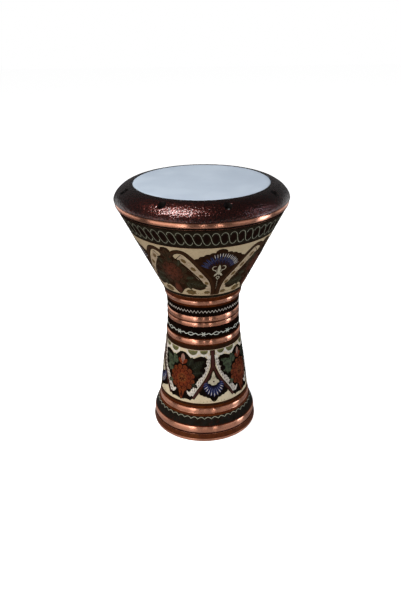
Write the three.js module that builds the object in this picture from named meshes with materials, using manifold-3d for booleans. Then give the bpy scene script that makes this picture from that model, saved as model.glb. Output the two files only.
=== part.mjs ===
// Goblet hand drum (darbuka): a spun copper shell in three pieces, a cast tuning ring that pulls
// the drumhead down over a bearing ring, and eight socket-head bolts that pull the tuning ring.
// The bolts are shown as plain shanks: their threads are not cut.
// Millimetres, +Z up. The origin is the middle of the foot's rim, on the surface the drum stands on.
import * as THREE from "three";
import { mergeVertices } from "three/addons/utils/BufferGeometryUtils.js";
import Module from "manifold-3d";

const wasm = await Module();
wasm.setup();

// Driving dimensions
const PLAYING_HEIGHT = 430; // floor to the film's upper face
const OPENING_RADIUS = 108; // tuning ring's inner lip
const RIM_RADIUS = 138.5; // tuning ring's widest line
const NECK_RADIUS = 59.6; // the waist, at the seam
const SEAM_Z = 212.6; // where the bowl and the body meet
const FOOT_RADIUS = 90.2; // rolled edge at the floor
const WALL = 1.4; // copper sheet
const GAP = 0.3; // between pieces that touch
const BOLTS = 8;
const FIRST_BOLT = 17.5; // degrees from +X
const BOLT_CIRCLE = 122.8; // radius
const ROUND = 48; // facets round the large pieces
const SMALL_ROUND = 16; // facets round the fasteners

// Rolled copper rings: bottom and top of each
const FOOT_RING = [17, 27.4];
const COLLAR_RING = [49, 57.6];
const LOWER_NECK_RING = [172.7, 181];
const SEAM_RING_BELOW = [204.6, SEAM_Z - GAP / 2];
const SEAM_RING_ABOVE = [SEAM_Z + GAP / 2, 222];
const UPPER_NECK_RING = [243.7, 251.2];
const TOP_RING = [397, 405.2];
const RING_BULGE = 1.1;

// The bowl's cone
const CONE_Z = 264.6;
const CONE_RADIUS = 68.7;
const CONE_SLOPE = 0.5; // radius gained for each millimetre up
const coneRadius = (z) => CONE_RADIUS + CONE_SLOPE * (z - CONE_Z);

// Fastening of the head
const FLANGE_Z = [399, 404]; // bearing ring's flange, which the bolts pull against
const FLANGE_RADIUS = 133.6;
const HOOP_Z = [411, 418];
const HOOP_RADII = [110.2, 115.8];
const FILM = 0.5;
const WEB_Z = 407; // underside of the tuning ring's web
const HEAD_SEAT_Z = 411.4; // floor of a bolt's counterbore
const BOLT_RADIUS = 2.9;
const BOLT_LENGTH = 25;
const BOLT_HEAD_RADIUS = 5;
const BOLT_HEAD_HEIGHT = 6;
const BOLT_HOLE_RADIUS = 3.4;
const WASHER_HEIGHT = 1.4;
const NUT_HEIGHT = 5;

const material = (color, roughness, metalness) =>
  new THREE.MeshStandardMaterial({ color, roughness, metalness });
const enamelledCopper = material(0xb9a67e, 0.4, 0.3);
const copper = material(0xc07a55, 0.35, 0.9);
const antiquedCopper = material(0x6e3b2a, 0.35, 0.8);
const hammeredBronze = material(0x3a1c17, 0.35, 0.7);
const castAluminium = material(0xa9abad, 0.5, 0.8);
const filmPlastic = material(0xc4cdd8, 0.45, 0.0);
const blackSteel = material(0x1c1b1b, 0.4, 0.8);
const zincSteel = material(0x9b9b96, 0.4, 0.9);

const points = (pairs) => pairs.map(([r, z]) => new THREE.Vector2(r, z));

// A rolled ring: a shallow arc that bulges out between two points of an outline.
function ring([r0, z0], [r1, z1], bulge = RING_BULGE, steps = 3) {
  const arc = [];
  for (let i = 0; i <= steps; i++) {
    const t = i / steps;
    arc.push([r0 + (r1 - r0) * t + bulge * Math.sin(Math.PI * t), z0 + (z1 - z0) * t]);
  }
  return arc;
}

// A body of revolution about +Z from an outline of [radius, height] pairs, taken anticlockwise.
function turned(outline, facets = ROUND) {
  const closed = outline[0][0] === 0 ? outline : [...outline, outline[0]];
  return new THREE.LatheGeometry(points(closed), facets).rotateX(Math.PI / 2);
}

function solidOf(geometry) {
  const bare = geometry.clone().deleteAttribute("normal").deleteAttribute("uv");
  const merged = mergeVertices(bare, 1e-3);
  return new wasm.Manifold(
    new wasm.Mesh({
      numProp: 3,
      vertProperties: merged.attributes.position.array,
      triVerts: new Uint32Array(merged.index.array),
    }),
  );
}

function geometryOf(solid) {
  const { vertProperties, triVerts } = solid.getMesh();
  const geometry = new THREE.BufferGeometry();
  geometry.setAttribute("position", new THREE.BufferAttribute(vertProperties, 3));
  geometry.setIndex(new THREE.BufferAttribute(triVerts, 1));
  geometry.computeVertexNormals();
  return geometry;
}

// An upright cylinder from z0 to z1 at (x, y).
function post(radius, z0, z1, x = 0, y = 0, facets = SMALL_ROUND) {
  return new THREE.CylinderGeometry(radius, radius, z1 - z0, facets)
    .rotateX(Math.PI / 2)
    .translate(x, y, (z0 + z1) / 2);
}

const boltAngles = Array.from({ length: BOLTS }, (_, i) =>
  THREE.MathUtils.degToRad(FIRST_BOLT + (i * 360) / BOLTS),
);
const boltPlaces = boltAngles.map((a) => [BOLT_CIRCLE * Math.cos(a), BOLT_CIRCLE * Math.sin(a)]);

// Cuts the same upright hole at each bolt's place.
function drilled(geometry, holes) {
  let solid = solidOf(geometry);
  for (const [x, y] of boltPlaces)
    for (const { radius, z0, z1 } of holes)
      solid = solid.subtract(solidOf(post(radius, z0, z1, x, y)));
  return geometryOf(solid);
}

// The flared base. Its rolled edge stands on the floor and its collar takes the body's spigot.
function footSkirt() {
  const collarInner = 76.6;
  const edgeInner = 85.6;
  const rolledEdge = [
    [edgeInner, 0],
    [88.6, 0],
    [FOOT_RADIUS - 0.5, 1.4],
    [FOOT_RADIUS, 3.4],
    [FOOT_RADIUS - 0.3, 7.5],
  ];
  const cove = [
    [84.8, 34.4],
    [81.1, 43],
  ];
  const inside = [
    [collarInner, COLLAR_RING[1]],
    [collarInner, 48],
    [79.6, 42.5],
    [83.3, 33.9],
    [85.5, 27],
    [86.3, 17],
    [87.6, 6.5],
    [edgeInner, 5.4],
  ];
  return turned([
    ...rolledEdge,
    ...ring([87.7, FOOT_RING[0]], [87.2, FOOT_RING[1]]),
    ...cove,
    ...ring([78, COLLAR_RING[0]], [77.6, COLLAR_RING[1]], 0.8),
    ...inside,
  ]);
}

// The lower sheet of the shell: a narrow cone from the foot's collar up to the seam.
function shellBody() {
  const spigot = 76.2;
  const spigotBottom = 49;
  const shoulder = COLLAR_RING[1] + GAP;
  const coneTop = [63.5, 163];
  const sheetAtSeam = NECK_RADIUS - WALL;
  return turned([
    [spigot, spigotBottom],
    [spigot, shoulder],
    [77.3, shoulder],
    coneTop,
    ...ring([62.6, LOWER_NECK_RING[0]], [62, LOWER_NECK_RING[1]]),
    ...ring([60.3, SEAM_RING_BELOW[0]], [NECK_RADIUS, SEAM_RING_BELOW[1]]),
    [sheetAtSeam, SEAM_RING_BELOW[1]],
    [coneTop[0] - WALL, coneTop[1]],
    [spigot - WALL, 62],
    [spigot - WALL, spigotBottom],
  ]);
}

// The upper sheet: the top of the neck, its outward curve, and the cone up to the rolled rim.
function shellBowl() {
  const rimInner = 134;
  const neck = [
    ...ring([NECK_RADIUS, SEAM_RING_ABOVE[0]], [59.8, SEAM_RING_ABOVE[1]]),
    ...ring([61.8, UPPER_NECK_RING[0]], [63.8, UPPER_NECK_RING[1]]),
    [66, 258],
    [CONE_RADIUS, CONE_Z],
  ];
  const inside = [
    [rimInner, TOP_RING[1]],
    [rimInner, FLANGE_Z[0]],
    [coneRadius(392) - WALL, 392],
    [CONE_RADIUS - WALL, CONE_Z],
    [62.2, 250],
    [60.1, 240],
    [NECK_RADIUS - WALL, SEAM_RING_ABOVE[0]],
  ];
  const rim = ring([coneRadius(TOP_RING[0]), TOP_RING[0]], [136.4, TOP_RING[1]], 1.6);
  return turned([...neck, ...rim, ...inside]);
}

// A short ferrule soldered inside the neck, across the seam between the body and the bowl.
function neckSleeve() {
  const outer = NECK_RADIUS - WALL - GAP;
  const inner = outer - WALL;
  const bottom = SEAM_Z - 14;
  const top = SEAM_Z + 14;
  return turned([[inner, bottom], [outer, bottom], [outer, top], [inner, top]]);
}

// Cast ring inside the bowl's mouth: an upright wall with the bearing edge, and a drilled flange.
function bearingRing() {
  const [flangeBottom, flangeTop] = FLANGE_Z;
  const edge = PLAYING_HEIGHT - FILM - GAP;
  const wallInner = 103.2;
  const wallOuter = 106.4;
  const outline = [
    [wallInner, flangeBottom],
    [FLANGE_RADIUS, flangeBottom],
    [FLANGE_RADIUS, flangeTop],
    [wallOuter, flangeTop],
    [wallOuter, edge - 1],
    [wallOuter - 0.8, edge],
    [wallInner + 1, edge],
    [wallInner, edge - 1.4],
  ];
  return drilled(turned(outline), [
    { radius: BOLT_HOLE_RADIUS, z0: flangeBottom - 1, z1: flangeTop + 1 },
  ]);
}

// The plastic film: a flat disc whose collar turns down outside the bearing edge into the hoop.
function drumheadFilm() {
  const collarOuter = HOOP_RADII[0] - GAP;
  const collarBottom = HOOP_Z[0] + 1;
  return turned([
    [0, PLAYING_HEIGHT - FILM],
    [106.3, PLAYING_HEIGHT - FILM],
    [107, PLAYING_HEIGHT - 1.6],
    [collarOuter - FILM, HOOP_Z[1]],
    [collarOuter - FILM, collarBottom],
    [collarOuter, collarBottom],
    [collarOuter, HOOP_Z[1]],
    [107.5, PLAYING_HEIGHT - 1.4],
    [106.6, PLAYING_HEIGHT],
    [0, PLAYING_HEIGHT],
  ]);
}

// The hoop that grips the film's collar.
function fleshHoop() {
  const [inner, outer] = HOOP_RADII;
  const [bottom, top] = HOOP_Z;
  return turned([[inner, bottom], [outer, bottom], [outer, top], [inner, top]]);
}

// The crowned ring that players see: it presses the hoop down, and its web carries the bolts.
function tuningRing() {
  const lipTop = PLAYING_HEIGHT + 0.9;
  const skirtBottom = 406.2;
  const widestZ = 407.2;
  const steps = 7;
  const crown = [];
  for (let i = 0; i <= steps; i++) {
    const t = ((i / steps) * Math.PI) / 2;
    crown.push([
      OPENING_RADIUS + (RIM_RADIUS - OPENING_RADIUS) * Math.cos(t) ** 1.25,
      widestZ + (lipTop - widestZ) * Math.sin(t) ** 1.25,
    ]);
  }
  const pressZ = HOOP_Z[1] + GAP;
  const pocketInner = HOOP_RADII[0];
  const pocketOuter = HOOP_RADII[1] + 0.4;
  const lightening = [
    [130.4, WEB_Z],
    [131.2, 411.5],
    [134.2, 411],
    [134.6, skirtBottom],
  ];
  const outline = [
    [137.6, skirtBottom],
    ...crown,
    [OPENING_RADIUS, PLAYING_HEIGHT - 2.4],
    [pocketInner, pressZ],
    [pocketOuter, pressZ],
    [pocketOuter, WEB_Z],
    ...lightening,
  ];
  return drilled(turned(outline), [
    { radius: BOLT_HOLE_RADIUS, z0: WEB_Z - 1, z1: HEAD_SEAT_Z + 1 },
    { radius: 6.4, z0: HEAD_SEAT_Z, z1: lipTop + 4 },
  ]);
}

// Socket-head cap screw, its head's underside at z = 0.
function tuningBolt() {
  const chamfer = 0.5;
  const keyCorner = 2.5 / Math.cos(Math.PI / 6);
  const keyDepth = 3.4;
  const outline = [
    [0, -BOLT_LENGTH],
    [BOLT_RADIUS - chamfer, -BOLT_LENGTH],
    [BOLT_RADIUS, chamfer - BOLT_LENGTH],
    [BOLT_RADIUS, 0],
    [BOLT_HEAD_RADIUS, 0],
    [BOLT_HEAD_RADIUS, BOLT_HEAD_HEIGHT - chamfer],
    [BOLT_HEAD_RADIUS - chamfer, BOLT_HEAD_HEIGHT],
    [0, BOLT_HEAD_HEIGHT],
  ];
  const key = post(keyCorner, BOLT_HEAD_HEIGHT - keyDepth, BOLT_HEAD_HEIGHT + 1, 0, 0, 6);
  return geometryOf(solidOf(turned(outline, SMALL_ROUND)).subtract(solidOf(key)));
}

function washer() {
  const inner = 3.3;
  const outer = 5.8;
  const outline = [[inner, 0], [outer, 0], [outer, WASHER_HEIGHT], [inner, WASHER_HEIGHT]];
  return turned(outline, SMALL_ROUND);
}

// Welded nut under the bearing ring's flange.
function lugNut() {
  const corner = 5 / Math.cos(Math.PI / 6);
  const hexagon = post(corner, 0, NUT_HEIGHT, 0, 0, 6);
  const bore = post(BOLT_RADIUS + 0.4, -1, NUT_HEIGHT + 1);
  return geometryOf(solidOf(hexagon).subtract(solidOf(bore)));
}

const drum = new THREE.Group();

function add(name, geometry, look, z = 0, x = 0, y = 0) {
  const mesh = new THREE.Mesh(geometry, look);
  mesh.name = name;
  mesh.position.set(x, y, z);
  drum.add(mesh);
  return mesh;
}

add("foot_skirt", footSkirt(), antiquedCopper);
add("shell_body", shellBody(), enamelledCopper);
add("shell_bowl", shellBowl(), enamelledCopper);
add("neck_sleeve", neckSleeve(), copper);
add("bearing_ring", bearingRing(), castAluminium);
add("drumhead_film", drumheadFilm(), filmPlastic);
add("flesh_hoop", fleshHoop(), castAluminium);
add("tuning_ring", tuningRing(), hammeredBronze);

const boltGeometry = tuningBolt();
const washerGeometry = washer();
const nutGeometry = lugNut();
boltPlaces.forEach(([x, y], i) => {
  const washerZ = HEAD_SEAT_Z + GAP;
  const headZ = washerZ + WASHER_HEIGHT + GAP;
  const nutZ = FLANGE_Z[0] - GAP - NUT_HEIGHT;
  add(`tuning_bolt_${i + 1}`, boltGeometry, blackSteel, headZ, x, y).rotation.z = boltAngles[i];
  add(`washer_${i + 1}`, washerGeometry, zincSteel, washerZ, x, y);
  add(`lug_nut_${i + 1}`, nutGeometry, zincSteel, nutZ, x, y).rotation.z = boltAngles[i];
});

export default drum;
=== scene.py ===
"""Looks for a goblet drum (darbuka): spun copper, painted enamel, a hammered tuning ring and a film head.

Lengths in this script are millimetres and angles are degrees, until wrap() and turned() turn them into
metres. Azimuth 0 is the side that faces the camera, and it grows to the right. The painting is thin
raised enamel: outlines in (azimuth, height) that are wrapped round the shell in layers.
"""

from math import ceil, copysign, cos, dist, hypot, inf, pi, radians, sin

import bmesh
import bpy
from mathutils import Matrix, Vector, noise
from mathutils.geometry import delaunay_2d_cdt


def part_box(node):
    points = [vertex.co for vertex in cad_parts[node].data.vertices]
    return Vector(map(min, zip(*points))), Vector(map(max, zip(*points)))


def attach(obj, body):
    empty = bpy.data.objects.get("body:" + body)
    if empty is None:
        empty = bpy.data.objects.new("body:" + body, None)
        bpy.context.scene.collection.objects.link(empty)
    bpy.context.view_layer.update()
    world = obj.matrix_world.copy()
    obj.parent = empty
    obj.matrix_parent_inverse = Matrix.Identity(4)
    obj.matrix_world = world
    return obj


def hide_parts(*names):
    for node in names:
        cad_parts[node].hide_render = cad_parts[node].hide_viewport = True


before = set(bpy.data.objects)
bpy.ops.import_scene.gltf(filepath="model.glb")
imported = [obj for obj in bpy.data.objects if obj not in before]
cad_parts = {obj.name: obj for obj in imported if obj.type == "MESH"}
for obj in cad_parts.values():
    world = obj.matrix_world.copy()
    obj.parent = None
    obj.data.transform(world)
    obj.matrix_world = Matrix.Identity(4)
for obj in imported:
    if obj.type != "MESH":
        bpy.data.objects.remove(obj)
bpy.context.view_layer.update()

MM = 0.001
FRONT = -90.0  # the camera's side, in degrees from +X


def node_z(node):
    """Lowest and highest point of a CAD node, in millimetres."""
    low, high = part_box(node)
    return low.z / MM, high.z / MM


def node_radius(node):
    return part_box(node)[1].x / MM


FOOT_BOTTOM, FOOT_TOP = node_z("foot_skirt")
SEAM_Z = (node_z("shell_body")[1] + node_z("shell_bowl")[0]) / 2
BOWL_TOP = node_z("shell_bowl")[1]
HEAD_Z = node_z("drumhead_film")[1]
LIP_Z = node_z("tuning_ring")[1]
RIM_RADIUS = node_radius("tuning_ring")
FOOT_RADIUS = node_radius("foot_skirt")
SHEET = 1.4  # copper thickness
SEAM_GAP = 0.15  # half the gap at the seam
OPENING = 108.0  # radius of the tuning ring's lip
BOLTS = 8

# Heights of the rolled copper rings
FOOT_RING = (17.0, 27.4)
COLLAR_RING = (49.0, FOOT_TOP)
LOWER_NECK_RING = (172.7, 181.0)
SEAM_RING_BELOW = (204.6, SEAM_Z - SEAM_GAP)
SEAM_RING_ABOVE = (SEAM_Z + SEAM_GAP, 222.0)
UPPER_NECK_RING = (243.7, 251.2)
TOP_RING = (397.0, BOWL_TOP)

REPEATS = 4  # the painting repeats every quarter turn
UPPER_JUNCTION = 15.0  # azimuth between two arches of the bowl
LOWER_JUNCTION = 13.0
HALF = 180.0 / REPEATS


# ---- outlines


def bead(start, end, bulge, steps=10):
    """A rolled ring between two outline points: nearly flat, with round shoulders."""
    (r0, z0), (r1, z1) = start, end
    made = []
    for i in range(steps + 1):
        t = i / steps
        made.append((r0 + (r1 - r0) * t + bulge * sin(pi * t) ** 0.5, z0 + (z1 - z0) * t))
    return made


def curve(points, steps=5):
    """A smooth line through points (Catmull-Rom)."""
    made = []
    for i in range(len(points) - 1):
        a, b = points[max(i - 1, 0)], points[i]
        c, d = points[i + 1], points[min(i + 2, len(points) - 1)]
        for k in range(steps):
            t = k / steps
            shares = (-t + 2 * t**2 - t**3, 2 - 5 * t**2 + 3 * t**3, t + 4 * t**2 - 3 * t**3, t**3 - t**2)
            made.append(tuple(sum(s * p[j] for s, p in zip(shares, (a, b, c, d))) / 2 for j in range(2)))
    return [*made, tuple(points[-1])]


FOOT_OUTSIDE = [
    *curve([(88.6, 0.0), (89.7, 1.2), (FOOT_RADIUS, 3.6), (89.9, 7.5), (87.7, FOOT_RING[0])], 4),
    *bead((87.7, FOOT_RING[0] + 0.1), (87.2, FOOT_RING[1]), 1.0),
    *curve([(87.1, 27.6), (84.8, 34.4), (81.1, 43.0), (78.2, 48.8)], 6),
    *bead((78.0, COLLAR_RING[0]), (77.6, COLLAR_RING[1]), 0.8),
]
BODY_OUTSIDE = [
    (77.3, FOOT_TOP + 0.3),
    *curve([(76.3, 64.5), (73.7, 86.0), (67.8, 129.0), (63.5, 163.0), (62.5, 172.6)], 6),
    *bead((62.4, LOWER_NECK_RING[0]), (62.0, LOWER_NECK_RING[1]), 1.1),
    *curve([(61.8, 181.2), (60.8, 196.0), (60.4, 204.5)], 4),
    *bead((60.1, SEAM_RING_BELOW[0]), (59.7, SEAM_RING_BELOW[1]), 1.1),
]
BOWL_OUTSIDE = [
    *bead((59.7, SEAM_RING_ABOVE[0]), (59.8, SEAM_RING_ABOVE[1]), 1.1),
    *curve([(59.9, 222.2), (60.7, 236.0), (61.7, 243.5)], 4),
    *bead((61.8, UPPER_NECK_RING[0]), (63.8, UPPER_NECK_RING[1]), 1.0),
    *curve([(64.0, 251.4), (66.0, 258.0), (68.9, 264.6), (74.4, 276.0), (90.2, 307.6)], 6),
    (134.8, 396.8),
    *bead((135.0, TOP_RING[0]), (136.2, TOP_RING[1]), 1.6),
]
OUTSIDE = [*FOOT_OUTSIDE, *BODY_OUTSIDE, *BOWL_OUTSIDE]


def shell_radius(z):
    """Radius of the copper's outer face at a height."""
    for (r0, z0), (r1, z1) in zip(OUTSIDE, OUTSIDE[1:]):
        if z <= z1:
            return r0 + (r1 - r0) * max(0.0, (z - z0) / (z1 - z0)) if z1 > z0 else r1
    return OUTSIDE[-1][0]


# ---- materials


class Nodes:
    """A Principled material with small helpers for its node tree."""

    def __init__(self, name):
        self.material = bpy.data.materials.new(name)
        self.material.use_nodes = True
        self.tree = self.material.node_tree
        self.shader = self.tree.nodes["Principled BSDF"]
        self.place = self.tree.nodes.new("ShaderNodeTexCoord").outputs["Object"]

    def add(self, kind, inputs=None, **settings):
        made = self.tree.nodes.new(kind)
        for key, value in settings.items():
            setattr(made, key, value)
        for key, value in (inputs or {}).items():
            if isinstance(value, bpy.types.NodeSocket):
                self.tree.links.new(value, made.inputs[key])
            else:
                made.inputs[key].default_value = value
        return made

    def set(self, **values):
        """Constants and links on the shader, by socket name with _ for a space."""
        for key, value in values.items():
            socket = self.shader.inputs[key.replace("_", " ")]
            if isinstance(value, bpy.types.NodeSocket):
                self.tree.links.new(value, socket)
            else:
                socket.default_value = value

    def stretched(self, x, y, z):
        return self.add("ShaderNodeMapping", {"Vector": self.place, "Scale": (x, y, z)}).outputs[0]

    def noise(self, size, detail=4.0, roughness=0.55, vector=None):
        """Noise from 0 to 1 whose features are about size millimetres."""
        inputs = {"Scale": 1.0 / (size * MM), "Detail": detail, "Roughness": roughness}
        return self.add("ShaderNodeTexNoise", {"Vector": vector or self.place, **inputs}).outputs["Fac"]

    def cells(self, size, feature="F1"):
        inputs = {"Vector": self.place, "Scale": 1.0 / (size * MM)}
        return self.add("ShaderNodeTexVoronoi", inputs, feature=feature).outputs["Distance"]

    def ramp(self, value, stops):
        """stops: (position, colour or number) pairs."""
        made = self.add("ShaderNodeValToRGB", {"Fac": value})
        elements = made.color_ramp.elements
        while len(elements) < len(stops):
            elements.new(0.5)
        for element, (position, tint) in zip(elements, stops):
            element.position = position
            rgb = (tint,) * 3 if isinstance(tint, (int, float)) else tint
            element.color = (*rgb, 1.0)
        return made.outputs["Color"]

    def mix(self, amount, a, b):
        made = self.add("ShaderNodeMix", data_type="RGBA")
        for index, value in ((0, amount), (6, a), (7, b)):
            socket = made.inputs[index]
            if isinstance(value, bpy.types.NodeSocket):
                self.tree.links.new(value, socket)
            else:
                socket.default_value = value if index == 0 else (*value, 1.0)
        return made.outputs[2]

    def bump(self, height, depth, strength=1.0, below=None):
        """A bump of depth millimetres for a height from 0 to 1."""
        inputs = {"Height": height, "Distance": depth * MM, "Strength": strength}
        if below:
            inputs["Normal"] = below
        return self.add("ShaderNodeBump", inputs).outputs["Normal"]


def spun_copper(name, bright, dark, roughness=(0.25, 0.35), patina=0.35, lacquer=0.3):
    """Polished sheet with fine turning lines round the drum, a few darker stains and soft scratches."""
    n = Nodes(name)
    lines = n.noise(1.0, 3.0, 0.6, n.stretched(0.02, 0.02, 2.2))
    wide_lines = n.noise(1.0, 2.0, 0.5, n.stretched(0.01, 0.01, 0.55))
    stains = n.noise(26.0, 6.0, 0.62)
    fine = n.noise(2.2, 5.0, 0.7)
    tone = n.mix(n.ramp(stains, [(0.42, 0.0), (0.72, patina)]), bright, dark)
    tone = n.mix(n.ramp(lines, [(0.35, 0.0), (0.8, 0.35)]), tone, dark)
    tone = n.mix(n.ramp(wide_lines, [(0.45, 0.0), (0.65, 0.3)]), tone, dark)
    n.set(Base_Color=tone, Metallic=1.0, Anisotropic=0.95, Anisotropic_Rotation=0.25)
    n.set(Coat_Weight=lacquer, Coat_Roughness=0.2)
    n.set(Tangent=n.add("ShaderNodeTangent", direction_type="RADIAL", axis="Z").outputs[0])
    n.set(Roughness=n.ramp(fine, [(0.3, roughness[0]), (0.75, roughness[1])]))
    n.set(Normal=n.bump(fine, 0.012, 0.5, n.bump(lines, 0.05, 0.8)))
    return n.material


def enamel(name, main, other, third=None, size=4.0, gloss=0.1, relief=0.05):
    """Brushed-on enamel: two or three shades in brush-sized patches, over a slightly uneven surface."""
    n = Nodes(name)
    patches = n.noise(size, 5.0, 0.6)
    strokes = n.noise(size * 0.28, 6.0, 0.7, n.stretched(1.0, 1.0, 0.55))
    tone = n.mix(n.ramp(patches, [(0.38, 0.0), (0.64, 1.0)]), main, other)
    if third:
        tone = n.mix(n.ramp(strokes, [(0.52, 0.0), (0.66, 0.85)]), tone, third)
    n.set(Base_Color=tone, Specular_IOR_Level=gloss)
    n.set(Roughness=n.ramp(strokes, [(0.3, 0.3), (0.7, 0.5)]))
    n.set(Normal=n.bump(strokes, relief, 0.6, n.bump(patches, relief * 2.5, 0.5)))
    return n.material


def speckled_ground(name, main, shade, dots):
    """Cream ground: warm mottling, fine dark stippling and hairline crazing."""
    n = Nodes(name)
    mottle = n.noise(18.0, 5.0, 0.6)
    stipple = n.noise(0.9, 2.0, 0.5)
    crazing = n.cells(5.0, "DISTANCE_TO_EDGE")
    tone = n.mix(n.ramp(mottle, [(0.35, 0.0), (0.7, 1.0)]), main, shade)
    tone = n.mix(n.ramp(stipple, [(0.56, 0.0), (0.7, 0.6)]), tone, dots)
    tone = n.mix(n.ramp(crazing, [(0.0, 0.25), (0.03, 0.0)]), tone, dots)
    n.set(Base_Color=tone, Specular_IOR_Level=0.35)
    n.set(Roughness=n.ramp(mottle, [(0.3, 0.3), (0.7, 0.45)]))
    n.set(Normal=n.bump(stipple, 0.04, 0.5))
    return n.material


def hammered_plate(name):
    """Antiqued copper plate: black in the hollows, worn to red copper on the high spots."""
    n = Nodes(name)
    dimples = n.cells(2.4, "F1")
    grain = n.noise(1.3, 5.0, 0.7)
    wear = n.noise(15.0, 5.0, 0.6)
    black, brown, red = (0.004, 0.001, 0.001), (0.016, 0.003, 0.002), (0.082, 0.011, 0.006)
    tone = n.ramp(grain, [(0.35, black), (0.52, brown), (0.7, red)])
    tone = n.mix(n.ramp(wear, [(0.48, 0.0), (0.75, 0.5)]), tone, (0.062, 0.011, 0.008))
    tone = n.mix(n.ramp(dimples, [(0.35, 0.0), (0.7, 0.5)]), tone, (0.11, 0.020, 0.014))
    n.set(Base_Color=tone, Metallic=1.0, Specular_Tint=(0.26, 0.09, 0.08, 1.0))
    n.set(Coat_Weight=0.7, Coat_Roughness=0.16)
    n.set(Roughness=n.ramp(grain, [(0.3, 0.24), (0.7, 0.42)]))
    uneven = n.bump(grain, 0.2, 1.0, n.bump(dimples, 0.3, 0.8))
    n.set(Normal=uneven, Coat_Normal=uneven)
    return n.material


def film_plastic(name):
    """Coated film: faint fibres, soft clouds of lighter and darker blue, and a soft sheen."""
    n = Nodes(name)
    fibres = n.noise(1.4, 6.0, 0.7)
    clouds = n.noise(45.0, 4.0, 0.5)
    tone = n.ramp(clouds, [(0.35, (0.45, 0.525, 0.615)), (0.65, (0.51, 0.585, 0.67))])
    tone = n.mix(n.ramp(fibres, [(0.5, 0.0), (0.75, 0.35)]), tone, (0.57, 0.63, 0.70))
    n.set(Base_Color=tone, Specular_IOR_Level=0.35)
    n.set(Roughness=n.ramp(clouds, [(0.3, 0.42), (0.7, 0.55)]))
    n.set(Normal=n.bump(fibres, 0.03, 0.6))
    return n.material


def machined_metal(name, tone, dark, roughness=(0.28, 0.45), metallic=1.0):
    """Cast or turned metal: fine pitting and scattered patches of grime."""
    n = Nodes(name)
    grime = n.noise(9.0, 6.0, 0.65)
    pits = n.noise(0.7, 4.0, 0.7)
    colour = n.mix(n.ramp(grime, [(0.45, 0.0), (0.75, 0.7)]), tone, dark)
    n.set(Base_Color=colour, Metallic=metallic)
    n.set(Roughness=n.ramp(pits, [(0.3, roughness[0]), (0.7, roughness[1])]))
    n.set(Normal=n.bump(pits, 0.04, 0.6))
    return n.material


# ---- mesh builders


def place_piece(name, verts, faces, materials, face_slots, body, sharp=35.0):
    """Makes a smooth-shaded mesh piece that rides on a body."""
    mesh = bpy.data.meshes.new(name)
    mesh.from_pydata(verts, [], faces)
    for item in materials:
        mesh.materials.append(item)
    if face_slots:
        mesh.polygons.foreach_set("material_index", face_slots)
    mesh.polygons.foreach_set("use_smooth", [True] * len(mesh.polygons))
    work = bmesh.new()
    work.from_mesh(mesh)
    bmesh.ops.recalc_face_normals(work, faces=work.faces)
    for edge in work.edges:
        if len(edge.link_faces) == 2 and edge.calc_face_angle(0.0) > radians(sharp):
            edge.smooth = False
    work.to_mesh(mesh)
    work.free()
    piece = bpy.data.objects.new(name, mesh)
    bpy.context.scene.collection.objects.link(piece)
    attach(piece, body)
    return piece


def turned(name, outline, materials, body, facets=360, slot_of=None, push=None):
    """A closed body of revolution. Its outline is a loop, or runs from the axis to the axis.
    slot_of gives the material of the outline's segment i; push(r, z, angle) moves a point."""
    rings, verts, faces, slots = [], [], [], []
    for r, z in outline:
        count = facets if r else 1
        rings.append(range(len(verts), len(verts) + count))
        for k in range(count):
            a = 2 * pi * k / facets
            out_r, out_z = push(r, z, a) if push and r else (r, z)
            verts.append((out_r * MM * cos(a), out_r * MM * sin(a), out_z * MM))
    for i, (a, b) in enumerate(around(rings)):
        if len(a) == len(b) == 1:
            continue
        for k in range(facets):
            m = (k + 1) % facets
            corners = (a[k % len(a)], a[m % len(a)], b[m % len(b)], b[k % len(b)])
            faces.append(tuple(dict.fromkeys(corners)))
            slots.append(slot_of(i) if slot_of else 0)
    return place_piece(name, verts, faces, materials, slots, body)


def wrap(azimuth, z, lift):
    """The point that far outside the shell's surface, in metres."""
    a = radians(FRONT + azimuth)
    r = (shell_radius(z) + lift) * MM
    return (r * cos(a), r * sin(a), z * MM)


def enamel_band(name, bottom, top, paint, lift=0.15, step=3.0):
    """A thin closed coat round the shell between two heights, with its edges rounded off."""
    count = max(2, ceil((top - bottom) / step))
    heights = [bottom + (top - bottom) * i / count for i in range(count + 1)]
    edge = 0.15
    outside = [(shell_radius(z) + lift, z) for z in (bottom + edge, *heights[1:-1], top - edge)]
    inside = [(shell_radius(z) - 0.1, z) for z in reversed(heights)]
    turned(name, [*outside, *inside], [PAINT[paint]], "shell")


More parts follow.
